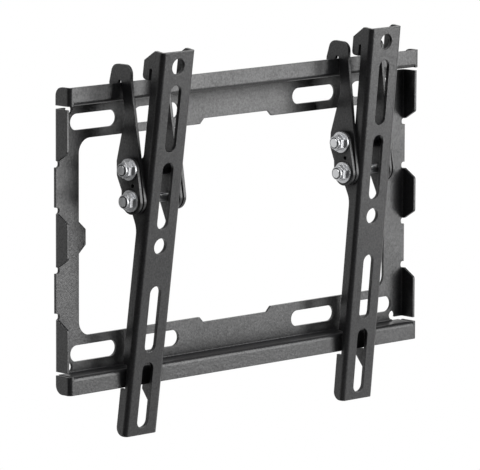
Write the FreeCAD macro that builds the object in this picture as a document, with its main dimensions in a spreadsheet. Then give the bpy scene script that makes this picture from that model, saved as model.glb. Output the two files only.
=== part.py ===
"""Tilting television wall mount: a folded wall plate and two arms that hang on its top lip.

Frame: the wall is the plane Y = 0, the mount stands out towards -Y, Z is up, and the origin is the
centre of the wall plate's back face. Each arm has a frame of its own, at its pivot bolt's axis,
with Z along the arm, and leans about X.
"""
import FreeCAD, Part
import os
import re
import Sketcher

# Driving dimensions in millimetres and degrees: name, value, meaning
SIZES = [
    ("plate_width", 270.4, "wall plate over its side tabs"),
    ("plate_height", 167, "wall plate over its lips"),
    ("plate_sheet", 1.5, "wall plate sheet thickness"),
    ("plate_bend", 0.8, "inner radius of the wall plate's folds"),
    ("lip_reach", 12.4, "wall to the front of a lip"),
    ("lip_height", 10.1, "height of a lip over its shelf"),
    ("cap_gap", 1.3, "wall to the back edge of a lip's end cap"),
    ("cap_corner", 5, "round corner of an end cap"),
    ("side_bar", 16.8, "plate edge to the window at the sides"),
    ("rail_bar", 19.5, "shelf to the window at the slots"),
    ("window_corner", 8, "window corner radius"),
    ("middle_width", 55.6, "width of the window's deeper middle"),
    ("middle_step", 3, "depth of the step to the window's middle"),
    ("bump_height", 17.5, "height of the bump on a window side"),
    ("bump_flat", 8.5, "flat top of that bump"),
    ("bump_depth", 5, "depth of that bump"),
    ("wall_slot_length", 34, "wall screw slot, overall length"),
    ("wall_slot_width", 9, "wall screw slot, width"),
    ("slot_row_drop", 10.25, "shelf to the row of wall screw slots"),
    ("outer_slot_inset", 27.45, "plate edge to the middle of an outer slot"),
    ("slot_pitch", 46.9, "outer slot to inner slot"),
    ("tab_reach", 10.4, "wall to the front of a side tab"),
    ("tab_cut_depth", 7.6, "cut corner of a side tab, along its depth"),
    ("tab_cut_height", 4.7, "cut corner of a side tab, along its height"),
    ("tab_cut_round", 2, "round between that cut and the front edge"),
    ("end_tab_length", 28.1, "upper and lower side tab"),
    ("end_tab_inset", 2, "shelf to the end of that tab"),
    ("middle_tab_length", 28.8, "middle side tab"),
    ("notch_height", 3.6, "relief notch beside a tab"),
    ("notch_depth", 2.6, "depth of that notch"),
    ("notch_corner", 1.5, "inner corners of that notch"),
    ("corner_relief", 9.4, "depth of the slit between a shelf and the next tab"),
    ("corner_hole", 5, "round hole at the inner end of that slit"),
    ("corner_hole_drop", 1.2, "that slit's lower edge to the middle of the hole"),
    ("pivot_reach", 23, "wall to the pivot axis of a hook plate that hangs upright"),
    ("pivot_height", 20.5, "plate centre to that axis"),
    ("left_arm_at", -83.6, "left arm's middle along the rail"),
    ("right_arm_at", 83.2, "right arm's middle along the rail"),
    ("left_hang", -0.5, "swing of the left hook plates on the lip, foot to the wall"),
    ("right_hang", 2.5, "swing of the right hook plates on the lip, foot to the wall"),
    ("left_tilt", 8, "left arm's lean, top forward"),
    ("right_tilt", 5.7, "right arm's lean, top forward"),
    ("tilt_most", 8.9, "largest lean of an arm from its hook plates, top forward"),
    ("tilt_back", 4.5, "largest lean of an arm from its hook plates, top backward"),
    ("arm_width", 24.5, "arm channel width"),
    ("arm_sheet", 2, "arm sheet thickness"),
    ("arm_bend", 0.6, "inner radius of the arm's folds"),
    ("arm_up", 83, "pivot to the top of an arm"),
    ("arm_down", 131.7, "pivot to the foot of an arm"),
    ("face_reach", 8.6, "pivot to the front face of an arm"),
    ("flange_depth", 7.2, "arm flange depth from the front face"),
    ("foot_corner", 4.5, "round back corner at the foot"),
    ("hook_flat", 6.6, "flat top of an arm's hook"),
    ("hook_depth", 14.1, "front face to the back of that hook"),
    ("hook_far_depth", 11.5, "front face to the back of the right flange at the top"),
    ("hook_slope", 6.5, "drop of the hook's cut corner"),
    ("hook_drop", 16.7, "arm top to the hook's tip"),
    ("hook_notch", 2, "width of the hook's notch"),
    ("hook_notch_drop", 10, "arm top to the notch's end"),
    ("hook_tip_round", 2.2, "round back corner of the hook's tip"),
    ("notch_round", 0.9, "round corners of the hook's notch"),
    ("ear_round", 6.1, "ear round the clamp bolt"),
    ("ear_corner", 3, "inner corner over the ear"),
    ("ear_waist", 7, "ear round the pivot"),
    ("ear_tail", 15.4, "pivot to the ear's lower end"),
    ("ear_sweep", 12, "radius where the ear runs into the flange"),
    ("lip_pass", 1.6, "lower lip to the top of the anti-lift lug"),
    ("recess_height", 14.1, "recess in the flanges for the lower lip"),
    ("recess_left", 3.8, "flange depth left at that recess"),
    ("recess_corner", 1, "inner corners of that recess"),
    ("lug_depth", 13.5, "front face to the back of the lug"),
    ("lug_height", 4.6, "upright back edge of the lug"),
    ("lug_taper", 6.3, "height of the slope under the lug"),
    ("screen_hole", 9, "round hole for a screen screw"),
    ("screen_hole_pitch", 100, "upper to lower screen hole"),
    ("screen_hole_drop", 8, "arm top to the upper screen hole"),
    ("arm_slot_length", 37.3, "long slot in an arm, overall"),
    ("arm_slot_width", 8, "long slot in an arm, width"),
    ("arm_slot_pitch", 43, "pitch of the two slots of a pair"),
    ("upper_slots_rise", 24.6, "pivot up to the middle of the upper slots"),
    ("lower_slots_drop", 87.6, "pivot down to the middle of the lower slots"),
    ("bolt_diameter", 5, "pivot and clamp bolts"),
    ("clamp_radius", 17.1, "pivot bolt to clamp bolt"),
    ("clamp_angle", 12, "clamp bolt behind the arm's line"),
    ("bolt_clear", 0.3, "bolt hole over bolt, on the diameter"),
    ("pivot_fit", 0.16, "pivot hole over bolt, on the diameter"),
    ("thread_fit", 0.1, "nut thread over bolt, on the diameter"),
    ("hook_sheet", 1.8, "hook plate sheet thickness"),
    ("side_clear", 0.2, "arm to hook plate"),
    ("lip_clear", 0.6, "lip to the hook plate's notch, each side"),
    ("seat_clear", 0.2, "lip's edge to the notch's seat"),
    ("relief_hole", 2.2, "relief hole over the notch"),
    ("relief_rise", 0.6, "lip's edge to the middle of that hole"),
    ("leg_wall_gap", 3.4, "wall to the hook plate's back leg"),
    ("leg_rise", 1.6, "shelf to the foot of that leg"),
    ("leg_corner", 2, "round corners of that leg"),
    ("tab_rise", 10.1, "lip's edge to the top of the hook plate"),
    ("tab_lean", 2.8, "lean of the top tab's back edge"),
    ("tab_corner", 5, "round corners of the top tab"),
    ("tab_front", 8, "lip to the front of the hook plate at the lip"),
    ("neck_depth", 3.4, "lip to the back of the neck"),
    ("neck_drop", 17, "lip's edge to the neck"),
    ("neck_round", 15, "curve at the neck"),
    ("belly_reach", 14.1, "pivot to the back of the wide part"),
    ("belly_top", 20.5, "pivot to the upper end of the wide part"),
    ("belly_foot", 12.5, "pivot to the lower end of the wide part"),
    ("belly_round", 5, "round corners of the wide part"),
    ("pivot_round", 7.5, "round lower end of the hook and clamp plates"),
    ("tilt_slot_clear", 0.45, "clamp bolt to the tilt slot's sides"),
    ("tilt_slot_spare", 1.2, "spare travel at each end of the tilt slot, degrees"),
    ("washer_diameter", 10, "flat washer"),
    ("washer_height", 0.9, "flat washer thickness"),
    ("washer_clear", 0.1, "flat washer to the hook plate"),
    ("clamp_sheet", 1.8, "clamp plate sheet thickness"),
    ("clamp_round", 6, "round upper end of a clamp plate"),
    ("pin_hole", 2.2, "small locating hole in a clamp plate"),
    ("pin_hole_front", 2, "that hole, forward of the bolts' line"),
    ("sleeve_diameter", 10, "spacer sleeve on the clamp bolt"),
    ("sleeve_clear", 0.05, "sleeve's end to the arm's flange"),
    ("flange_diameter", 11.8, "flange of a lock nut"),
    ("flange_height", 1.2, "edge of that flange"),
    ("hex_flats", 8, "hexagon across its flats"),
    ("nut_height", 4.4, "nut to the top of its hexagon"),
    ("collar_diameter", 7.2, "round collar on a lock nut"),
    ("collar_height", 1.4, "collar height"),
    ("collar_wall", 0.45, "collar wall round the nylon ring"),
    ("head_diameter", 10.4, "round bolt head"),
    ("head_rim", 0.6, "upright rim of that head"),
    ("head_height", 2, "bolt head, to the top of its dome"),
    ("bolt_end", 0.5, "bolt end beyond the nut's collar"),
    ("overrun", 1, "overrun of a cutting shape beyond the piece"),
]

DOC = FreeCAD.newDocument("tv_wall_mount")
NAMES = {name for name, value, meaning in SIZES}


def fill_sheet():
    """Put each driving dimension in a cell of its own, with its name as the cell's alias."""
    sheet = DOC.addObject("Spreadsheet::Sheet", "Sizes")
    for row, (name, value, meaning) in enumerate(SIZES, start=1):
        sheet.set(f"A{row}", meaning)
        sheet.set(f"B{row}", str(value))
        sheet.setAlias(f"B{row}", name)
    DOC.recompute()
    return sheet


SHEET = fill_sheet()


def bound(formula):
    """A formula in size names, written so that any object of the document can use it."""
    return re.sub(r"[a-z_]+", lambda word: f"Sizes.{word[0]}" if word[0] in NAMES else word[0], formula)


def number(formula):
    """The present value of a formula in size names."""
    return float(DOC.Sizes.evalExpression(bound(formula)))


def constrain(sketch, formula, kind, *places):
    """Add one dimension to a sketch and bind it to a formula."""
    row = sketch.addConstraint(Sketcher.Constraint(kind, *places, number(formula)))
    sketch.setExpression(f"Constraints[{row}]", bound(formula))


def pin(sketch, geometry, point, x, y):
    """Fix a point of a sketch at two formulas from the sketch's origin."""
    constrain(sketch, x, "DistanceX", -1, 1, geometry, point)
    constrain(sketch, y, "DistanceY", -1, 1, geometry, point)


def vector(x, y):
    return FreeCAD.Vector(x, y, 0)


def tangent(start, end, start_radius, end_radius):
    """Ends of the line that keeps both circles on its left; a radius of 0 is a plain corner."""
    along = end - start
    span = along.Length
    along.normalize()
    outward = vector(along.y, -along.x)
    lean = (start_radius - end_radius) / span
    normal = outward * (1 - lean * lean) ** 0.5 + along * lean
    return start + normal * start_radius, end + normal * end_radius


def outline(sketch, corners):
    """Draw a closed outline, anticlockwise, from its corners.

    A corner is (x, y) where two lines meet, (x, y, radius) where they meet in a fillet, or
    (x, y, radius, "centre") where the outline runs round a circle with its centre there.
    """
    count = len(corners)
    places = [vector(number(corner[0]), number(corner[1])) for corner in corners]
    centred = [len(corner) == 4 for corner in corners]
    rounds = [number(corner[2]) if len(corner) > 2 else 0 for corner in corners]
    lines = []
    for i in range(count):
        j = (i + 1) % count
        ends = tangent(places[i], places[j], rounds[i] * centred[i], rounds[j] * centred[j])
        lines.append(list(ends))
    arcs = {}
    for i in range(count):
        if not rounds[i]:
            continue
        before, after = lines[i - 1], lines[i]
        heading = (before[1] - before[0]).normalize()
        leaving = (after[1] - after[0]).normalize()
        turn = heading.x * leaving.y - heading.y * leaving.x
        side = 1 if centred[i] or turn > 0 else -1
        if not centred[i]:
            setback = rounds[i] * ((1 - heading.dot(leaving)) / (1 + heading.dot(leaving))) ** 0.5
            before[1] = places[i] - heading * setback
            after[0] = places[i] + leaving * setback
        centre = before[1] + vector(-heading.y, heading.x) * rounds[i] * side
        middle = (heading - leaving).normalize() * rounds[i]
        arcs[i] = (Part.Arc(before[1], centre + middle, after[0]), side)
    first = [sketch.addGeometry(Part.LineSegment(*ends)) for ends in lines]
    for i, corner in enumerate(corners):
        before, after = first[i - 1], first[i]
        if i not in arcs:
            sketch.addConstraint(Sketcher.Constraint("Coincident", before, 2, after, 1))
            pin(sketch, after, 1, corner[0], corner[1])
            continue
        curve, side = arcs[i]
        arc = sketch.addGeometry(curve)
        near, far = (1, 2) if side > 0 else (2, 1)
        sketch.addConstraint(Sketcher.Constraint("Tangent", before, 2, arc, near))
        sketch.addConstraint(Sketcher.Constraint("Tangent", arc, far, after, 1))
        constrain(sketch, corner[2], "Radius", arc)
        if centred[i]:
            pin(sketch, arc, 3, corner[0], corner[1])
            continue
        mark = sketch.addGeometry(Part.Point(places[i]), True)
        sketch.addConstraint(Sketcher.Constraint("PointOnObject", mark, 1, before))
        sketch.addConstraint(Sketcher.Constraint("PointOnObject", mark, 1, after))
        pin(sketch, mark, 1, corner[0], corner[1])


def circle(sketch, x, y, diameter):
    """Draw a circle with its centre and diameter bound to formulas."""
    shape = Part.Circle(vector(number(x), number(y)), FreeCAD.Vector(0, 0, 1), number(diameter) / 2)
    round_hole = sketch.addGeometry(shape)
    pin(sketch, round_hole, 3, x, y)
    constrain(sketch, diameter, "Diameter", round_hole)


def box(sketch, left, bottom, right, top):
    """Draw a rectangle between four formulas."""
    outline(sketch, [(left, bottom), (right, bottom), (right, top), (left, top)])


def obround(sketch, x, y, length, width, upright=False):
    """Draw a round-ended slot, level or upright."""
    half = f"({length} - {width}) / 2"
    radius = f"({width}) / 2"
    low = (x, f"{y} - {half}") if upright else (f"{x} - {half}", y)
    high = (x, f"{y} + {half}") if upright else (f"{x} + {half}", y)
    outline(sketch, [(*low, radius, "centre"), (*high, radius, "centre")])


def body(label):
    """A new PartDesign body; its label names the sub-part."""
    new = DOC.addObject("PartDesign::Body", label)
    new.Label = label
    return new


def sketch_on(owner, plane, offset=None):
    """A sketch on one of its body's own planes, moved along that plane's normal by a formula."""
    sketch = owner.newObject("Sketcher::SketchObject", "Sketch")
    planes = {feature.Role: feature for feature in owner.Origin.OriginFeatures}
    sketch.AttachmentSupport = [(planes[plane], "")]
    sketch.MapMode = "FlatFace"
    if offset:
        sketch.setExpression("AttachmentOffset.Base.z", bound(offset))
    return sketch


def pad(owner, sketch, length, middle=False):
    """Pad a sketch along its normal, or to both sides of its plane."""
    feature = owner.newObject("PartDesign::Pad", "Pad")
    feature.Profile = sketch
    feature.SideType = "Symmetric" if middle else "One side"
    feature.setExpression("Length", bound(length))
    DOC.recompute()
    return feature


def pocket(owner, sketch, length=None, reverse=False):
    """Cut a sketch to both sides of its plane right through, or to one side by a length."""
    feature = owner.newObject("PartDesign::Pocket", "Pocket")
    feature.Profile = sketch
    feature.Reversed = reverse
    if length:
        feature.SideType = "One side"
        feature.setExpression("Length", bound(length))
    else:
        feature.SideType = "Symmetric"
        feature.Type = "ThroughAll"
    before = owner.Shape.Volume
    DOC.recompute()
    if owner.Shape.Volume >= before:
        raise RuntimeError(f"{owner.Label}: {feature.Name} cut nothing")
    return feature


def edges_along(shape, axis, places):
    """Names of the straight edges along an axis that pass through one of the places."""
    others = [i for i in range(3) if i != axis]
    found = []
    for i, edge in enumerate(shape.Edges, start=1):
        ends = [vertex.Point for vertex in edge.Vertexes]
        if len(ends) != 2 or any(abs(ends[0][k] - ends[1][k]) > 1e-6 for k in others):
            continue
        if any(all(abs(ends[0][k] - place[n]) < 1e-4 for n, k in enumerate(others)) for place in places):
            found.append(f"Edge{i}")
    return found


def dress(owner, kind, size, axis, places):
    """Fillet or chamfer the edges along an axis at the places given as pairs of formulas."""
    targets = [(number(first), number(second)) for first, second in places]
    base = owner.Tip
    feature = owner.newObject(f"PartDesign::{kind}", kind)
    feature.Base = (base, edges_along(base.Shape, axis, targets))
    feature.setExpression("Radius" if kind == "Fillet" else "Size", bound(size))
    DOC.recompute()
    return feature


def mirrored(corners):
    """The same outline on the other side of the sketch's vertical axis."""
    return [(f"-({corner[0]})", *corner[1:]) for corner in reversed(corners)]


# Places on the wall plate, as formulas
EDGE = "plate_width / 2"
TOP = "plate_height / 2"
FOLD = "(plate_bend + plate_sheet)"
SHELF_UNDER = "(plate_height / 2 - lip_height)"
SHELF_OVER = f"({SHELF_UNDER} + plate_sheet)"
LIP_BACK = "(lip_reach - plate_sheet)"
END_TAB_TOP = f"({SHELF_UNDER} - end_tab_inset)"
END_TAB_FOOT = f"({END_TAB_TOP} - end_tab_length)"
MIDDLE_TAB_TOP = "middle_tab_length / 2"
BEYOND = f"({EDGE} + plate_sheet)"
ROOT = f"({EDGE} - {FOLD} - plate_bend)"


def wall_plate():
    """One folded sheet: a flat frame on the wall, two lipped rails and six side tabs."""
    plate = body("wall_plate")
    section = sketch_on(plate, "YZ_Plane")
    front, back = "-lip_reach", f"-{LIP_BACK}"
    outline(section, [
        (back, TOP), (front, TOP), (front, SHELF_UNDER, FOLD), ("-plate_sheet", SHELF_UNDER, "plate_bend"),
        ("-plate_sheet", f"-{SHELF_UNDER}", "plate_bend"), (front, f"-{SHELF_UNDER}", FOLD),
        (front, f"-({TOP})"), (back, f"-({TOP})"), (back, f"-{SHELF_OVER}", "plate_bend"),
        ("0", f"-{SHELF_OVER}", FOLD), ("0", SHELF_OVER, FOLD), (back, SHELF_OVER, "plate_bend"),
    ])
    pad(plate, section, "plate_width", middle=True)
    cut_edges(plate)
    add_tabs(plate)
    add_end_caps(plate)
    cut_window(plate)
    cut_wall_slots(plate)
    return plate


def cut_edges(plate):
    """Clear the sheet's side edges for the tabs' folds, the end caps' folds and the relief notches."""
    folds = sketch_on(plate, "XZ_Plane")
    spans = [(f"-{MIDDLE_TAB_TOP}", MIDDLE_TAB_TOP)]
    for sign in ("", "-"):
        ends = [f"{sign}{END_TAB_FOOT}", f"{sign}{END_TAB_TOP}"]
        cap_ends = [f"{sign}{SHELF_UNDER}", f"{sign}({TOP} + overrun)"]
        spans += [ends, cap_ends] if not sign else [ends[::-1], cap_ends[::-1]]
    for low, high in spans:
        box(folds, ROOT, low, BEYOND, high)
        box(folds, f"-{BEYOND}", low, f"-{ROOT}", high)
    pocket(plate, folds)
    reliefs = sketch_on(plate, "XZ_Plane")
    notch, corner = f"({EDGE} - notch_depth)", f"({EDGE} - corner_relief)"
    for low, high, deep, radius in [
        (MIDDLE_TAB_TOP, f"{MIDDLE_TAB_TOP} + notch_height", notch, "notch_corner"),
        (f"{END_TAB_FOOT} - notch_height", END_TAB_FOOT, notch, "notch_corner"),
        (END_TAB_TOP, SHELF_UNDER, corner, "plate_bend"),
    ]:
        for bottom, top in ((low, high), (f"-({high})", f"-({low})")):
            relief = [(deep, bottom, radius), (BEYOND, bottom), (BEYOND, top), (deep, top, radius)]
            outline(reliefs, relief)
            outline(reliefs, mirrored(relief))
    pocket(plate, reliefs)
    holes = sketch_on(plate, "XZ_Plane")
    for x in (corner, f"-{corner}"):
        for sign in ("", "-"):
            circle(holes, x, f"{sign}({END_TAB_TOP} - corner_hole_drop)", "corner_hole")
    pocket(plate, holes)


def add_tabs(plate):
    """Fold three stiffening tabs forward from each side, and cut their free corners."""
    tab = [
        (ROOT, "0"), (ROOT, "-plate_sheet"),
        (f"{EDGE} - plate_sheet", "-plate_sheet", "plate_bend"), (f"{EDGE} - plate_sheet", "-tab_reach"),
        (EDGE, "-tab_reach"), (EDGE, "0", FOLD),
    ]
    for foot, length in [
        (END_TAB_FOOT, "end_tab_length"),
        (f"-{MIDDLE_TAB_TOP}", "middle_tab_length"),
        (f"-{END_TAB_TOP}", "end_tab_length"),
    ]:
        section = sketch_on(plate, "XY_Plane", foot)
        outline(section, tab)
        outline(section, mirrored(tab))
        pad(plate, section, length)
    cuts = sketch_on(plate, "YZ_Plane")
    front, back = "-tab_reach", "-tab_reach + tab_cut_depth"
    fronts = []
    for end in (END_TAB_FOOT, f"-{MIDDLE_TAB_TOP}"):
        inward = f"{end} + tab_cut_height"
        outline(cuts, [(front, end), (back, end), (front, inward)])
        outline(cuts, [(front, f"-({inward})"), (back, f"-({end})"), (front, f"-({end})")])
        fronts += [(front, inward), (front, f"-({inward})")]
    pocket(plate, cuts)
    dress(plate, "Fillet", "tab_cut_round", 0, fronts)


def add_end_caps(plate):
    """Fold the ends of each lip back to the wall and round their outer corners."""
    cap = [
        (ROOT, f"-{LIP_BACK}"), (ROOT, "-lip_reach"), (EDGE, "-lip_reach", FOLD),
        (EDGE, "-cap_gap"), (f"{EDGE} - plate_sheet", "-cap_gap"),
        (f"{EDGE} - plate_sheet", f"-{LIP_BACK}", "plate_bend"),
    ]
    for foot in (SHELF_UNDER, f"-({TOP})"):
        section = sketch_on(plate, "XY_Plane", foot)
        outline(section, cap)
        outline(section, mirrored(cap))
        pad(plate, section, "lip_height")
    dress(plate, "Fillet", "cap_corner", 0, [("-cap_gap", TOP), ("-cap_gap", f"-({TOP})")])


def cut_window(plate):
    """Cut the window: deeper in the middle of each rail, with a bump half way up each side."""
    side = f"({EDGE} - side_bar)"
    level = f"({SHELF_UNDER} - rail_bar)"
    half = [
        (side, "-bump_height / 2"), (f"{side} - bump_depth", "-bump_flat / 2"),
        (f"{side} - bump_depth", "bump_flat / 2"), (side, "bump_height / 2"), (side, level, "window_corner"),
        ("middle_width / 2", level), ("middle_width / 2 - middle_step", f"{level} + middle_step"),
        ("-middle_width / 2 + middle_step", f"{level} + middle_step"), ("-middle_width / 2", level),
        (f"-{side}", level, "window_corner"),
    ]
    turned = [(f"-({corner[0]})", f"-({corner[1]})", *corner[2:]) for corner in half]
    opening = sketch_on(plate, "XZ_Plane")
    outline(opening, half + turned)
    pocket(plate, opening)


def cut_wall_slots(plate):
    """Cut two rows of four level slots for the wall screws."""
    slots = sketch_on(plate, "XZ_Plane")
    row = f"({SHELF_UNDER} - slot_row_drop)"
    outer = f"({EDGE} - outer_slot_inset)"
    for x in (f"-{outer}", f"-({outer} - slot_pitch)", f"({outer} - slot_pitch)", outer):
        for z in (row, f"-{row}"):
            obround(slots, x, z, "wall_slot_length", "wall_slot_width")
    pocket(plate, slots)


# Places in an arm's own frame, as formulas: Y is back from the pivot, Z up along the arm
FACE = "-face_reach"
FLANGE = "(flange_depth - face_reach)"
CLAMP_BACK = "(clamp_radius * sin(clamp_angle))"
CLAMP_RISE = "(clamp_radius * cos(clamp_angle))"
LUG_TOP = "(-pivot_height - plate_height / 2 - lip_pass)"
LUG_FOOT = f"({LUG_TOP} - lug_height - lug_taper)"
HALF = "arm_width / 2"

# Places across an arm's stack, from its middle line
HOOK_INNER = f"({HALF} + side_clear)"
HOOK_OUTER = f"({HOOK_INNER} + hook_sheet)"
WASHER_INNER = f"({HOOK_OUTER} + washer_clear)"
CLAMP_INNER = f"({WASHER_INNER} + washer_height)"
CLAMP_OUTER = f"({CLAMP_INNER} + clamp_sheet)"


def swung(side, y, z):
    """Formulas for a point of a hook plate once the plate has swung on the lip."""
    lip_y, lip_z = "(-lip_reach + plate_sheet / 2)", f"({TOP})"
    along, rise = f"({y} - {lip_y})", f"({z} - {lip_z})"
    turn = f"({side}_hang)"
    return (f"{lip_y} + {along} * cos{turn} - {rise} * sin{turn}",
            f"{lip_z} + {along} * sin{turn} + {rise} * cos{turn}")


def place(piece, side, tilted=True):
    """Put a piece at an arm's place on the rail.

    A hook plate swings on the lip; what leans with the arm turns about the hook plates' pivot.
    """
    y, z = swung(side, "-pivot_reach", "pivot_height") if tilted else swung(side, "0", "0")
    piece.Placement = FreeCAD.Placement(FreeCAD.Vector(), FreeCAD.Rotation(FreeCAD.Vector(1, 0, 0), 1))
    piece.setExpression("Placement.Base.x", bound(f"{side}_arm_at"))
    piece.setExpression("Placement.Base.y", bound(y))
    piece.setExpression("Placement.Base.z", bound(z))
    piece.setExpression("Placement.Rotation.Angle", bound(f"{side}_tilt" if tilted else f"{side}_hang"))


def arm(side):
    """A folded channel with a hook at its top, an ear at the bolts and a lug under the lower lip."""
    channel = body(f"{side}_arm")
    profile = sketch_on(channel, "YZ_Plane")
    hook_back = f"({FACE} + hook_depth)"
    hook_tip = "arm_up - hook_drop"
    recess = f"({FACE} + recess_left)"
    lug_back = f"({FACE} + lug_depth)"
    outline(profile, [
        (FACE, "arm_up"), (FACE, "-arm_down"), (FLANGE, "-arm_down", "foot_corner"), (FLANGE, LUG_FOOT),
        (lug_back, f"{LUG_TOP} - lug_height"), (lug_back, LUG_TOP, "recess_corner"),
        (recess, LUG_TOP, "recess_corner"), (recess, f"{LUG_TOP} + recess_height", "recess_corner"),
        (FLANGE, f"{LUG_TOP} + recess_height", "recess_corner"), (FLANGE, "-ear_tail", "ear_sweep"),
        ("0", "0", "ear_waist", "centre"), (CLAMP_BACK, CLAMP_RISE, "ear_round", "centre"),
        (FLANGE, f"{CLAMP_RISE} + ear_round", "ear_corner"), (FLANGE, hook_tip),
        (hook_back, hook_tip, "hook_tip_round"), (hook_back, "arm_up - hook_slope"),
        (f"{FACE} + hook_flat", "arm_up"),
    ])
    pad(channel, profile, "arm_width", middle=True)
    inside = sketch_on(channel, "XY_Plane")
    wall = f"({HALF} - arm_sheet)"
    web = f"({FACE} + arm_sheet)"
    behind = f"({CLAMP_BACK} + hook_depth)"
    outline(inside, [
        (f"-{wall}", web, "arm_bend"), (wall, web, "arm_bend"), (wall, behind), (f"-{wall}", behind),
    ])
    pocket(channel, inside)
    dress(channel, "Fillet", "arm_bend + arm_sheet", 2, [(HALF, FACE), (f"-{HALF}", FACE)])
    cut_arm_holes(channel)
    trim_flanges(channel, hook_tip, hook_back, lug_back)
    place(channel, side)
    return channel


def trim_flanges(channel, hook_tip, hook_back, lug_back):
    """Make the two flanges differ: a notched hook on the left, a plain top and the lug on the right."""
    left = sketch_on(channel, "YZ_Plane")
    notch_back, notch_top = f"({FLANGE} + hook_notch)", "arm_up - hook_notch_drop"
    outline(left, [
        (FLANGE, f"{hook_tip} - overrun"), (notch_back, f"{hook_tip} - overrun"),
        (notch_back, notch_top, "notch_round"), (FLANGE, notch_top, "notch_round"),
    ])
    box(left, FLANGE, f"{LUG_FOOT} - overrun", f"{lug_back} + overrun", f"{LUG_TOP} + overrun")
    pocket(channel, left, HALF)
    right = sketch_on(channel, "YZ_Plane")
    box(right, f"{FACE} + hook_far_depth", f"{hook_tip} - overrun", f"{hook_back} + overrun", "arm_up")
    pocket(channel, right, HALF, reverse=True)


def cut_arm_holes(channel):
    """Cut the screen holes and long slots in the front face and the bolt holes in the ears."""
    face = sketch_on(channel, "XZ_Plane")
    upper_hole = "arm_up - screen_hole_drop"
    circle(face, "0", upper_hole, "screen_hole")
    circle(face, "0", f"{upper_hole} - screen_hole_pitch", "screen_hole")
    for middle in ("upper_slots_rise", "-lower_slots_drop"):
        for sign in ("+", "-"):
            slot_at = f"({middle} {sign} arm_slot_pitch / 2)"
            obround(face, "0", slot_at, "arm_slot_length", "arm_slot_width", upright=True)
    pocket(channel, face)
    ears = sketch_on(channel, "YZ_Plane")
    circle(ears, "0", "0", "bolt_diameter + bolt_clear")
    circle(ears, CLAMP_BACK, CLAMP_RISE, "bolt_diameter + bolt_clear")
    pocket(channel, ears)


def hook_plate(side, hand):
    """The plate that hangs on the top lip and carries the arm's pivot and tilt slot."""
    plate = body(f"{side}_hook_plate_{hand}")
    inner = HOOK_INNER if hand == "head_side" else f"-{HOOK_OUTER}"
    profile = sketch_on(plate, "YZ_Plane", inner)
    notch_front = "(-lip_reach - lip_clear)"
    notch_back = f"(-{LIP_BACK} + lip_clear)"
    leg_foot = f"({SHELF_OVER} + leg_rise)"
    tab_top = f"({TOP} + tab_rise)"
    tab_front = "-lip_reach - tab_front"
    belly = "(belly_reach - pivot_reach)"
    outline(profile, [
        ("-leg_wall_gap", leg_foot, "leg_corner"), ("-leg_wall_gap", TOP),
        ("-leg_wall_gap - tab_lean", tab_top, "tab_corner"), (tab_front, tab_top, "tab_corner"),
        (tab_front, TOP), ("-pivot_reach", "pivot_height", "pivot_round", "centre"),
        (belly, "pivot_height + belly_foot", "belly_round"),
        (belly, "pivot_height + belly_top", "belly_round"),
        ("-lip_reach - neck_depth", f"{TOP} - neck_drop", "neck_round"),
        (notch_front, f"{TOP} + seat_clear"), (notch_back, f"{TOP} + seat_clear"),
        (notch_back, leg_foot, "leg_corner"),
    ])
    pad(plate, profile, "hook_sheet")
    holes = sketch_on(plate, "YZ_Plane", inner)
    circle(holes, "-pivot_reach", "pivot_height", "bolt_diameter + pivot_fit")
    pocket(plate, holes)
    relief = sketch_on(plate, "YZ_Plane", inner)
    circle(relief, "-lip_reach + plate_sheet / 2", f"{TOP} + relief_rise", "relief_hole")
    pocket(plate, relief)
    cut_tilt_slot(plate, inner)
    place(plate, side, tilted=False)
    return plate


def cut_tilt_slot(plate, inner):
    """Cut the slot that the clamp bolt follows, between its places at the two ends of the lean."""
    slot = sketch_on(plate, "YZ_Plane", inner)
    half = "(bolt_diameter / 2 + tilt_slot_clear)"
    ends = []
    for lean in ("tilt_most + tilt_slot_spare", "-tilt_back - tilt_slot_spare"):
        angle = f"({lean} - clamp_angle)"
        y = f"-pivot_reach - clamp_radius * sin{angle}"
        z = f"pivot_height + clamp_radius * cos{angle}"
        ends.append((y, z, half, "centre"))
    outline(slot, ends)
    pocket(plate, slot)


def clamp_plate(side, hand):
    """The outer plate under the nuts or heads, held by both bolts."""
    plate = body(f"{side}_clamp_plate_{hand}")
    inner = CLAMP_INNER if hand == "head_side" else f"-{CLAMP_OUTER}"
    profile = sketch_on(plate, "YZ_Plane", inner)
    outline(profile, [("0", "0", "pivot_round", "centre"), (CLAMP_BACK, CLAMP_RISE, "clamp_round", "centre")])
    pad(plate, profile, "clamp_sheet")
    holes = sketch_on(plate, "YZ_Plane", inner)
    circle(holes, "0", "0", "bolt_diameter + bolt_clear")
    circle(holes, CLAMP_BACK, CLAMP_RISE, "bolt_diameter + bolt_clear")
    circle(holes, f"{CLAMP_BACK} / 2 - pin_hole_front", f"{CLAMP_RISE} / 2", "pin_hole")
    pocket(plate, holes)
    place(plate, side)
    return plate


def solid(kind, name, sizes, x, y="0", z="0"):
    """A Part primitive with its axis along +X, its sizes and its place bound to formulas."""
    piece = DOC.addObject(f"Part::{kind}", name)
    piece.Placement = FreeCAD.Placement(FreeCAD.Vector(), FreeCAD.Rotation(FreeCAD.Vector(0, 1, 0), 90))
    for key, formula in sizes.items():
        piece.setExpression(key, bound(formula))
    for key, formula in zip("xyz", (x, y, z)):
        piece.setExpression(f"Placement.Base.{key}", bound(formula))
    return piece


def rod(name, diameter, start, length, y="0", z="0"):
    return solid("Cylinder", name, {"Radius": f"({diameter}) / 2", "Height": length}, start, y, z)


def hexagon(name, start, length, y, z):
    """A hexagon by its flats, along X."""
    piece = solid("Prism", name, {"Circumradius": "hex_flats / sqrt(3)", "Height": length}, start, y, z)
    piece.Polygon = 6
    return piece


def joined(label, pieces):
    """Fuse pieces into one sub-part."""
    whole = DOC.addObject("Part::MultiFuse", label)
    whole.Shapes = pieces
    whole.Refine = True
    whole.Label = label
    return whole


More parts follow.
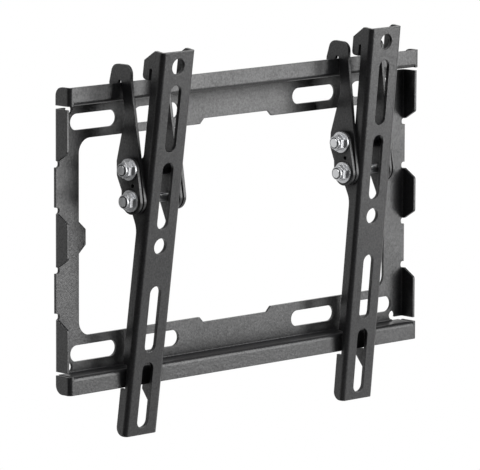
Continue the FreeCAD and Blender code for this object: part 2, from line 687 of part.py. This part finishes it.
def group(label, pieces):
    """Keep pieces apart as separate solids of one sub-part."""
    whole = DOC.addObject("Part::Compound", label)
    whole.Links = pieces
    whole.Label = label
    return whole


def shared(label, first, second):
    """Keep what two pieces have in common."""
    common = DOC.addObject("Part::Common", label)
    common.Base = first
    common.Tool = second
    return common


def less(label, whole, tool):
    """Cut one piece out of another."""
    cut = DOC.addObject("Part::Cut", label)
    cut.Base = whole
    cut.Tool = tool
    cut.Label = label
    return cut


NUT_FACE = f"(-{CLAMP_OUTER})"
NUT_END = f"({NUT_FACE} - nut_height - collar_height)"
THREAD = "bolt_diameter + thread_fit"
RING_OUTER = "collar_diameter - 2 * collar_wall"
BOLT_HOLE = "bolt_diameter + bolt_clear"
BOLTS = {"pivot": ("0", "0"), "clamp": (CLAMP_BACK, CLAMP_RISE)}


def bolt(side, use):
    """A bolt through the whole stack, with a low round head on the right."""
    y, z = BOLTS[use]
    name = f"{side}_{use}_bolt"
    shank_start = f"({NUT_END} - bolt_end)"
    shank_length = f"{CLAMP_OUTER} - {shank_start} + head_rim"
    shank = rod(f"{name}_shank", "bolt_diameter", shank_start, shank_length, y, z)
    dome = "(head_height - head_rim)"
    radius = f"((head_diameter / 2) ^ 2 + {dome} ^ 2) / (2 * {dome})"
    middle = f"{CLAMP_OUTER} + head_height - {radius}"
    ball = solid("Sphere", f"{name}_ball", {"Radius": radius}, middle, y, z)
    blank = rod(f"{name}_blank", "head_diameter", CLAMP_OUTER, "head_height", y, z)
    whole = joined(name, [shank, shared(f"{name}_head", ball, blank)])
    place(whole, side)
    return whole


def lock_nut(side, use):
    """A hexagon flange nut with a round collar that holds a nylon ring."""
    y, z = BOLTS[use]
    name = f"{side}_{use}_nut"
    flange = rod(f"{name}_flange", "flange_diameter", f"{NUT_FACE} - flange_height", "flange_height", y, z)
    hexagonal = hexagon(f"{name}_hexagon", f"{NUT_FACE} - nut_height", "nut_height", y, z)
    collar = rod(f"{name}_collar", "collar_diameter", NUT_END, f"{NUT_FACE} - {NUT_END}", y, z)
    blank = joined(f"{name}_blank", [flange, hexagonal, collar])
    start = f"({NUT_END} - overrun)"
    bore = rod(f"{name}_bore", THREAD, start, f"{NUT_FACE} - {start} + overrun", y, z)
    seat = rod(f"{name}_seat", RING_OUTER, start, "collar_height + overrun", y, z)
    whole = less(name, blank, joined(f"{name}_hollow", [bore, seat]))
    place(whole, side)
    return whole


def ring(name, outer, inner, start, length, y, z):
    """A flat ring round a bolt."""
    disc = rod(f"{name}_disc", outer, start, length, y, z)
    bore = rod(f"{name}_bore", inner, f"{start} - overrun", f"{length} + 2 * overrun", y, z)
    return less(name, disc, bore)


def lock_rings(side):
    """The nylon rings in the two lock nuts' collars."""
    rings = []
    for use, (y, z) in BOLTS.items():
        rings.append(ring(f"{side}_{use}_ring", RING_OUTER, THREAD, NUT_END, "collar_height", y, z))
    whole = group(f"{side}_lock_rings", rings)
    place(whole, side)
    return whole


def flat_washers(side, hand):
    """The washers between a hook plate and its clamp plate, one on each bolt."""
    start = WASHER_INNER if hand == "head_side" else f"-{CLAMP_INNER}"
    washers = []
    for use, (y, z) in BOLTS.items():
        name = f"{side}_{use}_washer_{hand}"
        washers.append(ring(name, "washer_diameter", BOLT_HOLE, start, "washer_height", y, z))
    whole = group(f"{side}_flat_washers_{hand}", washers)
    place(whole, side)
    return whole


def spacer_sleeve(side):
    """The tube on the clamp bolt that keeps the channel open when the nut is tightened."""
    start = f"(-{HALF} + arm_sheet + sleeve_clear)"
    name, length = f"{side}_spacer_sleeve", f"-2 * {start}"
    sleeve = ring(name, "sleeve_diameter", BOLT_HOLE, start, length, CLAMP_BACK, CLAMP_RISE)
    place(sleeve, side)
    return sleeve


def build():
    """All sub-parts of the mount."""
    pieces = [wall_plate()]
    for side in ("left", "right"):
        pieces.append(arm(side))
        for hand in ("nut_side", "head_side"):
            pieces.append(hook_plate(side, hand))
            pieces.append(clamp_plate(side, hand))
            pieces.append(flat_washers(side, hand))
        for use in BOLTS:
            pieces.append(bolt(side, use))
            pieces.append(lock_nut(side, use))
        pieces.append(lock_rings(side))
        pieces.append(spacer_sleeve(side))
    DOC.recompute()
    return pieces


def write(pieces):
    """Check the document and every shape, then write one STEP file for each sub-part."""
    for item in DOC.Objects:
        if {"Invalid", "Error"} & set(item.State):
            raise RuntimeError(f"{item.Label} did not build: {item.State}")
    for piece in pieces:
        if piece.Shape.isNull() or not piece.Shape.isValid() or not piece.Shape.Solids:
            raise RuntimeError(f"{piece.Label} has no valid solid")
    os.makedirs("parts", exist_ok=True)
    for piece in pieces:
        piece.Shape.exportStep(f"parts/{piece.Label}.step")
        print(piece.Label, len(piece.Shape.Solids), round(piece.Shape.Volume, 1))


write(build())
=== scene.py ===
# %% [markdown]
# # A tilting television wall mount, from its CAD frame to a studio picture
#
# The mount is folded sheet steel, powder coated black, held together by bright zinc plated bolts
# and nuts. The sheets could be modelled again here, but the CAD model already gives every fold,
# slot and washer its true shape and place, and a second model would drift from the one that the
# physics uses. So no piece is added or replaced: this lesson gives each CAD piece its surface,
# then lights and frames the whole as a catalogue picture does.

# %% Load the CAD frame
import math

import bpy
from mathutils import Matrix, Vector

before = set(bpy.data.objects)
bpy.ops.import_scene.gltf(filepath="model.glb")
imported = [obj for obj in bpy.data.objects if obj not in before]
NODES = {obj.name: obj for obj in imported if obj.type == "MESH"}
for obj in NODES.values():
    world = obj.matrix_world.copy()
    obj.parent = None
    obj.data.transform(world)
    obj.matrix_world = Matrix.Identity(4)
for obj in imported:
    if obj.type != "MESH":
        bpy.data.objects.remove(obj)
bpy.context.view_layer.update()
scene = bpy.context.scene
MM = 0.001

# %% [markdown]
# ## Where the camera stood
#
# The photo was taken from the left, a little above, with a long lens: the upper and lower rails
# converge only slightly. A camera could be turned by eye until the picture looks right, but then
# its place could not be trusted to a pixel. So sixty points read from the photo gave the angle,
# the distance and the lens together. The camera's own axes are built from its azimuth, elevation
# and roll, and its place is a distance back from the wall plate's centre with a small shift
# sideways and down.

# %% Camera
AZIMUTH, ELEVATION, ROLL = (math.radians(v) for v in (44.42, 8.61, 0.22))
DISTANCE, SIDE_SHIFT, RISE = 2807.3 * MM, 3.33 * MM, -10.74 * MM
LENS, SENSOR = 378.77, 36
NEAREST, FARTHEST = 0.1, 100

toward = Vector((-math.sin(AZIMUTH), -math.cos(AZIMUTH), 0))
back = toward * math.cos(ELEVATION) + Vector((0, 0, math.sin(ELEVATION)))
level = (-back).cross(Vector((0, 0, 1))).normalized()
upright = level.cross(-back)
right = level * math.cos(ROLL) + upright * math.sin(ROLL)
up = upright * math.cos(ROLL) - level * math.sin(ROLL)

lens = bpy.data.cameras.new("photo_camera")
lens.lens, lens.sensor_width = LENS, SENSOR
lens.clip_start, lens.clip_end = NEAREST, FARTHEST
camera = bpy.data.objects.new("photo_camera", lens)
scene.collection.objects.link(camera)
stand = Matrix.Translation(back * DISTANCE + right * SIDE_SHIFT + up * RISE)
camera.matrix_world = stand @ Matrix((right, up, back)).transposed().to_4x4()
scene.camera = camera
print("camera at", [round(v, 3) for v in camera.location])

# %% [markdown]
# ## Small helpers for materials
#
# Colours are chosen as a paint card shows them, in sRGB, and one function turns them into the
# linear values that light is reckoned in. One function adds a shader node, sets its values and
# joins its inputs. Nodes could be wired by hand in the editor, but a line of code for each node
# lets a material read as a list of what its surface is made of. The other helpers name the three
# things that every surface here needs: noise at a true size, a change of range, and a sum.

# %% Colour and node helpers
def linear(code):
    """An sRGB hex colour as linear red, green, blue and alpha."""
    parts = [int(code[i:i + 2], 16) / 255 for i in (1, 3, 5)]
    return (*[v / 12.92 if v <= 0.04045 else ((v + 0.055) / 1.055) ** 2.4 for v in parts], 1)


def add(tree, kind, settings=None, **inputs):
    """Add a node; settings are its properties, inputs are values or (node, output) links."""
    node = tree.nodes.new(kind)
    for key, value in (settings or {}).items():
        setattr(node, key, value)
    for name, value in inputs.items():
        socket = node.inputs[int(name[1:])] if name[0] == "_" else node.inputs[name.replace("_", " ")]
        if isinstance(value, tuple) and isinstance(value[0], bpy.types.Node):
            tree.links.new(value[0].outputs[value[1]], socket)
        else:
            socket.default_value = value
    return node


def noise(tree, place, size, detail, roughness=0.5):
    """Noise whose blobs are about one size across, in metres."""
    return add(tree, "ShaderNodeTexNoise", Vector=(place, "Object"), Scale=1 / size, Detail=detail,
               Roughness=roughness)


def remap(tree, source, span, target=(0, 1)):
    """A value moved from one range to another, and held at the ends."""
    return add(tree, "ShaderNodeMapRange", Value=source, From_Min=span[0], From_Max=span[1],
               To_Min=target[0], To_Max=target[1])


def reckon(tree, operation, *values):
    """A sum of values or links, such as MULTIPLY or MAXIMUM."""
    return add(tree, "ShaderNodeMath", {"operation": operation},
               **{f"_{i}": value for i, value in enumerate(values)})


def tint(tree, factor, first, second):
    """A colour between two sRGB hex colours."""
    return add(tree, "ShaderNodeMix", {"data_type": "RGBA"}, Factor=factor, _6=linear(first),
               _7=linear(second))


def material(name):
    """A new material and its empty node tree."""
    made = bpy.data.materials.new(name)
    made.use_nodes = True
    made.node_tree.nodes.clear()
    return made, made.node_tree


CLOUD = (0.3, 0.7)
print("mid grey in linear light:", round(linear("#808080")[0], 3))

# %% [markdown]
# ## Black powder coat on folded steel
#
# The sheet parts are sprayed with charged powder and baked. The powder melts and flows into a
# tough skin with a faint, pebbled ripple a millimetre or so across, finer grain inside it, and
# specks and pores that make its gloss uneven. It is a satin black: dark by itself, so nearly all
# that the eye sees is the studio mirrored softly in the skin.
#
# Over the sheet's cut edges the skin draws thin and rounds off, which draws a bright line along
# them, and handling rubs those edges smoother and a touch greyer; that greyer colour is partly
# the rubbing and partly a painted highlight along the edges. In inner corners the Ambient
# Occlusion node turns the gloss down, a painted shade that keeps the folds black.
#
# One flat black with one roughness would look like plastic, and a photographed texture would
# carry its own light. So noise in real millimetres makes the ripple, the grain and the specks,
# and the Bevel node rounds the edges and gives the mask for their greyer, painted highlight. The
# Ambient Occlusion node paints shade into the inner corners by turning their gloss down.

# %% Powder coat
RIPPLE, SPECK, GRAIN, DRIFT = 1.5 * MM, 1.0 * MM, 0.32 * MM, 38 * MM
RIPPLE_HEIGHT, GRAIN_HEIGHT = 0.09 * MM, 0.03 * MM
EDGE_ROUND, CORNER_SHADE_REACH = 0.45 * MM, 12 * MM
RUB = 0.12


def powder_coat():
    made, tree = material("black_powder_coat_baked_satin")
    place = add(tree, "ShaderNodeTexCoord")
    drift = noise(tree, place, DRIFT, 3.0)

    edge = add(tree, "ShaderNodeBevel", {"samples": 6}, Radius=EDGE_ROUND)
    flat = add(tree, "ShaderNodeNewGeometry")
    bend = add(tree, "ShaderNodeVectorMath", {"operation": "DOT_PRODUCT"}, _0=(edge, 0),
               _1=(flat, "Normal"))
    # Edge mask: the greyer edge colour is partly rubbed coat and partly a painted highlight along the
    # edges.
    edge_wear_and_highlight = remap(tree, (bend, "Value"), (0.995, 0.86))
    rubbed_and_highlit_edge = reckon(tree, "MULTIPLY", (edge_wear_and_highlight, 0), (drift, 0))
    colour = tint(tree, (rubbed_and_highlit_edge, 0), "#1e1e1f", "#3e3e40")
    baked = remap(tree, (drift, 0), CLOUD, (0.28, 0.35))
    rough = reckon(tree, "MULTIPLY_ADD", (rubbed_and_highlit_edge, 0), -RUB, (baked, 0))

    ripple = add(tree, "ShaderNodeBump", Strength=0.7, Distance=RIPPLE_HEIGHT,
                 Height=(noise(tree, place, RIPPLE, 1.0), 0), Normal=(edge, 0))
    texture = add(tree, "ShaderNodeBump", Strength=0.4, Distance=GRAIN_HEIGHT,
                  Height=(noise(tree, place, GRAIN, 2.0, 0.6), 0), Normal=(ripple, 0))

    # Painted shade: Ambient Occlusion turns the gloss down where other surfaces stand close, so inner
    # corners and folds go black.
    corner = add(tree, "ShaderNodeAmbientOcclusion", {"samples": 8}, Distance=CORNER_SHADE_REACH)
    corner_shaded_gloss = remap(tree, (corner, "AO"), (0.45, 0.93), (0.03, 0.5))
    pores = remap(tree, (noise(tree, place, SPECK, 2.0, 0.7), 0), CLOUD, (0.66, 1.34))
    specks_and_corner_shade = reckon(tree, "MULTIPLY", (corner_shaded_gloss, 0), (pores, 0))
    skin = add(tree, "ShaderNodeBsdfPrincipled", Base_Color=(colour, 2), Roughness=(rough, 0),
               Specular_IOR_Level=(specks_and_corner_shade, 0), Normal=(texture, 0))
    add(tree, "ShaderNodeOutputMaterial", Surface=(skin, 0))
    return made


COAT = powder_coat()
coated = [name for name in NODES if name == "wall_plate" or name.endswith("_arm") or "_plate_" in name]
print("powder coated:", coated)

# %% [markdown]
# ## Bright zinc plate on the bolts and nuts
#
# The bolts and nuts are cold forged, the washers are punched, and all are tumbled and zinc plated
# in a barrel. Plating leaves a thin, silvery metal skin that is never quite even: cloudy patches,
# fine scuffs from the barrel, and a cool tint. The eye sees small, bright, blurred mirrors with
# soft edges. A clean chrome would be simpler, but it mirrors the studio in hard black and white,
# so clouds of noise set both the colour and the roughness.
#
# The bolts are threaded all along: a five millimetre thread with a pitch of 0.8 mm, rolled into
# the shank. Its flanks turn part of the shank towards the front, so it glitters in an arm's slots.
# A helix could be cut into the mesh, but the ridges are finer than a pixel, and a triangular wave
# along the shank in the surface's height gives the same slopes. It changes nothing on faces that
# look along the shank, such as the head.

# %% Zinc plate
PITCH = 0.8 * MM
WAVE_SPAN = math.pi / 10
THREAD_HEIGHT = 0.3 * PITCH
CLOUD_SIZE, SCUFF, SCUFF_HEIGHT = 6 * MM, 0.4 * MM, 0.02 * MM
FORGED_ROUND = 0.3 * MM
CLOUDING = 0.09


def zinc_plate(name, threaded, polish, clouded, clear):
    made, tree = material(name)
    place = add(tree, "ShaderNodeTexCoord")
    cloud = noise(tree, place, CLOUD_SIZE, 2.0)
    edge = add(tree, "ShaderNodeBevel", {"samples": 6}, Radius=FORGED_ROUND)
    colour = tint(tree, (cloud, 0), clouded, clear)
    rough = remap(tree, (cloud, 0), CLOUD, (polish, polish + CLOUDING))
    skin = add(tree, "ShaderNodeBump", Strength=0.06, Distance=SCUFF_HEIGHT,
               Height=(noise(tree, place, SCUFF, 2.0), 0), Normal=(edge, 0))
    if threaded:
        ridges = add(tree, "ShaderNodeTexWave", {"bands_direction": "X", "wave_profile": "TRI"},
                     Vector=(place, "Object"), Scale=WAVE_SPAN / PITCH)
        skin = add(tree, "ShaderNodeBump", Strength=0.8, Distance=THREAD_HEIGHT, Height=(ridges, "Fac"),
                   Normal=(skin, 0))
    plated = add(tree, "ShaderNodeBsdfPrincipled", Base_Color=(colour, 2), Metallic=1.0,
                 Roughness=(rough, 0), Normal=(skin, 0))
    add(tree, "ShaderNodeOutputMaterial", Surface=(plated, 0))
    return made


ZINC = zinc_plate("zinc_plate_barrel_bright", False, 0.38, "#aeafb1", "#d6d7d9")
THREADED = zinc_plate("zinc_plate_rolled_thread", True, 0.4, "#c3c4c6", "#e6e7e8")
print("zinc:", ZINC.name, THREADED.name, "thread pitch in mm:", PITCH / MM)

# %% [markdown]
# ## Moulded nylon
#
# The spacer sleeves and the rings that lock the nuts are nylon. The sleeves are moulded in black
# with a fine spark-eroded texture, so they stay dull. The lock rings are turned smooth by the
# bolt's thread and catch a soft light. They are small and half hidden, so one function with a
# grain size and a roughness serves both, in place of a material built for each.

# %% Nylon
PIT_DEPTH = 0.02 * MM
UNEVEN = 0.06


def nylon(name, code, roughness, grain_size):
    made, tree = material(name)
    place = add(tree, "ShaderNodeTexCoord")
    grain = noise(tree, place, grain_size, 2.0)
    rough = remap(tree, (grain, 0), CLOUD, (roughness - UNEVEN, roughness + UNEVEN))
    pits = add(tree, "ShaderNodeBump", Strength=0.2, Distance=PIT_DEPTH, Height=(grain, 0))
    body = add(tree, "ShaderNodeBsdfPrincipled", Base_Color=linear(code), Roughness=(rough, 0),
               Normal=(pits, 0))
    add(tree, "ShaderNodeOutputMaterial", Surface=(body, 0))
    return made


SLEEVE = nylon("nylon_moulded_eroded_black", "#2a2a2c", 0.5, 0.3 * MM)
RING = nylon("nylon_lock_ring_turned_dark", "#242528", 0.4, 0.5 * MM)
print("nylon:", SLEEVE.name, RING.name)

# %% [markdown]
# ## Putting the surfaces on the pieces
#
# Each CAD piece is one material, as it was made: sheet parts are coated before assembly, and the
# fasteners, washers and sleeves are bought in. Faces could be painted one by one, but a piece that
# comes out of one bath or one oven has one surface, so the piece's name decides.

# %% Give each piece its surface
for name, piece in NODES.items():
    if name in coated:
        surface = COAT
    elif name.endswith("_bolt"):
        surface = THREADED
    elif name.endswith("_nut") or "_washers_" in name:
        surface = ZINC
    elif name.endswith("_lock_rings"):
        surface = RING
    else:
        surface = SLEEVE
    piece.data.materials.clear()
    piece.data.materials.append(surface)
    print(name, "->", surface.name)

# %% [markdown]
# ## The studio floor
#
# A catalogue picture of a black part is lit by what the part mirrors. The part hangs over a sheet
# of pale paper, which stands white in the picture and in the part's own mirrors. A floor without
# an end would also be mirrored in the folds that face down and towards the camera, and turn them
# grey. The photo's folds are black, so the paper ends a little before the mount, on the camera's
# side, and those folds mirror the dark room.

# %% Floor
FLOOR_HALF, FLOOR_DROP, PAPER_FRONT = 12, -0.4, 0.4
WHITE = (1, 1, 1, 1)


def mirrored(tree, ray):
    """One for rays that a glossy or clear surface sends on, else nothing."""
    return reckon(tree, "MAXIMUM", (ray, "Is Glossy Ray"), (ray, "Is Transmission Ray"))


def floor():
    """A wide sheet of paper, white to the camera and in the part's mirrors."""
    near, far = toward * PAPER_FRONT, toward * -FLOOR_HALF
    across, down = level * FLOOR_HALF, Vector((0, 0, FLOOR_DROP))
    sheet = bpy.data.meshes.new("studio_floor")
    corners = [near - across, near + across, far + across, far - across]
    sheet.from_pydata([corner + down for corner in corners], [], [(0, 1, 2, 3)])
    made = bpy.data.objects.new("studio_floor", sheet)
    scene.collection.objects.link(made)
    paper, tree = material("studio_floor_paper_matt")
    ray = add(tree, "ShaderNodeLightPath")
    matt = add(tree, "ShaderNodeBsdfDiffuse", Color=linear("#d8d8d8"))
    white = add(tree, "ShaderNodeEmission", Color=WHITE, Strength=1.0)
    seen = reckon(tree, "MAXIMUM", (ray, "Is Camera Ray"), (mirrored(tree, ray), 0))
    shown = add(tree, "ShaderNodeMixShader", _0=(seen, 0), _1=(matt, 0), _2=(white, 0))
    add(tree, "ShaderNodeOutputMaterial", Surface=(shown, 0))
    sheet.materials.append(paper)
    return made


print("floor:", floor().name, "at height", FLOOR_DROP)

# %% [markdown]
# ## Two soft boxes
#
# The front faces turn towards a broad soft box on the right, so they read as mid grey and the
# grain of the coat shows. A second soft box overhead lights the shelves and the upper edges. A
# third one at the front was tried, and left out because these two match the photo's tones
# without it. Area lights are used because a soft box is a bright surface, and its size sets how
# soft its mirror image is.

# %% Lights
def soft_box(name, place, width, height, power):
    """An area light that faces the mount's centre."""
    data = bpy.data.lights.new(name, "AREA")
    data.shape = "RECTANGLE"
    data.size, data.size_y = width, height
    data.energy = power
    lamp = bpy.data.objects.new(name, data)
    lamp.location = place
    lamp.rotation_mode = "QUATERNION"
    lamp.rotation_quaternion = Vector(place).to_track_quat("Z", "Y")
    scene.collection.objects.link(lamp)
    return lamp


key = soft_box("soft_box_right", (1.0, -1.35, 0.36), 1.1, 1.5, 30)
top = soft_box("soft_box_top", (-0.2, -0.5, 1.7), 1.4, 1.0, 40)
print("lights:", [(lamp.name, lamp.data.energy) for lamp in (key, top)])

# %% [markdown]
# ## White backdrop, dim room
#
# The photo's background is pure white. A lit white wall would do it, but would also flood the
# part. So the room itself is dim, and Light Path lets only some rays see white: those from the
# camera, and those that the part mirrors or lets through towards the wall behind it. That is why
# the sides of the arms and tabs, which mirror the wall, are a dark grey and not black.

# %% Background
BEHIND = (0.15, 0.65)
ROOM_LIGHT = 0.09

world = bpy.data.worlds.new("studio")
scene.world = world
world.use_nodes = True
tree = world.node_tree
tree.nodes.clear()
ray = add(tree, "ShaderNodeLightPath")
way = add(tree, "ShaderNodeTexCoord")
split = add(tree, "ShaderNodeSeparateXYZ", Vector=(way, "Generated"))
behind = remap(tree, (split, "Y"), BEHIND)
backdrop = reckon(tree, "MULTIPLY", (mirrored(tree, ray), 0), (behind, 0))
seen = reckon(tree, "MAXIMUM", (ray, "Is Camera Ray"), (backdrop, 0))
dim = add(tree, "ShaderNodeBackground", Color=linear("#f4f4f6"), Strength=ROOM_LIGHT)
white = add(tree, "ShaderNodeBackground", Color=WHITE, Strength=1.0)
shown = add(tree, "ShaderNodeMixShader", _0=(seen, 0), _1=(dim, 0), _2=(white, 0))
add(tree, "ShaderNodeOutputWorld", Surface=(shown, 0))

scene.view_settings.view_transform = "Standard"
print("background nodes:", len(tree.nodes))
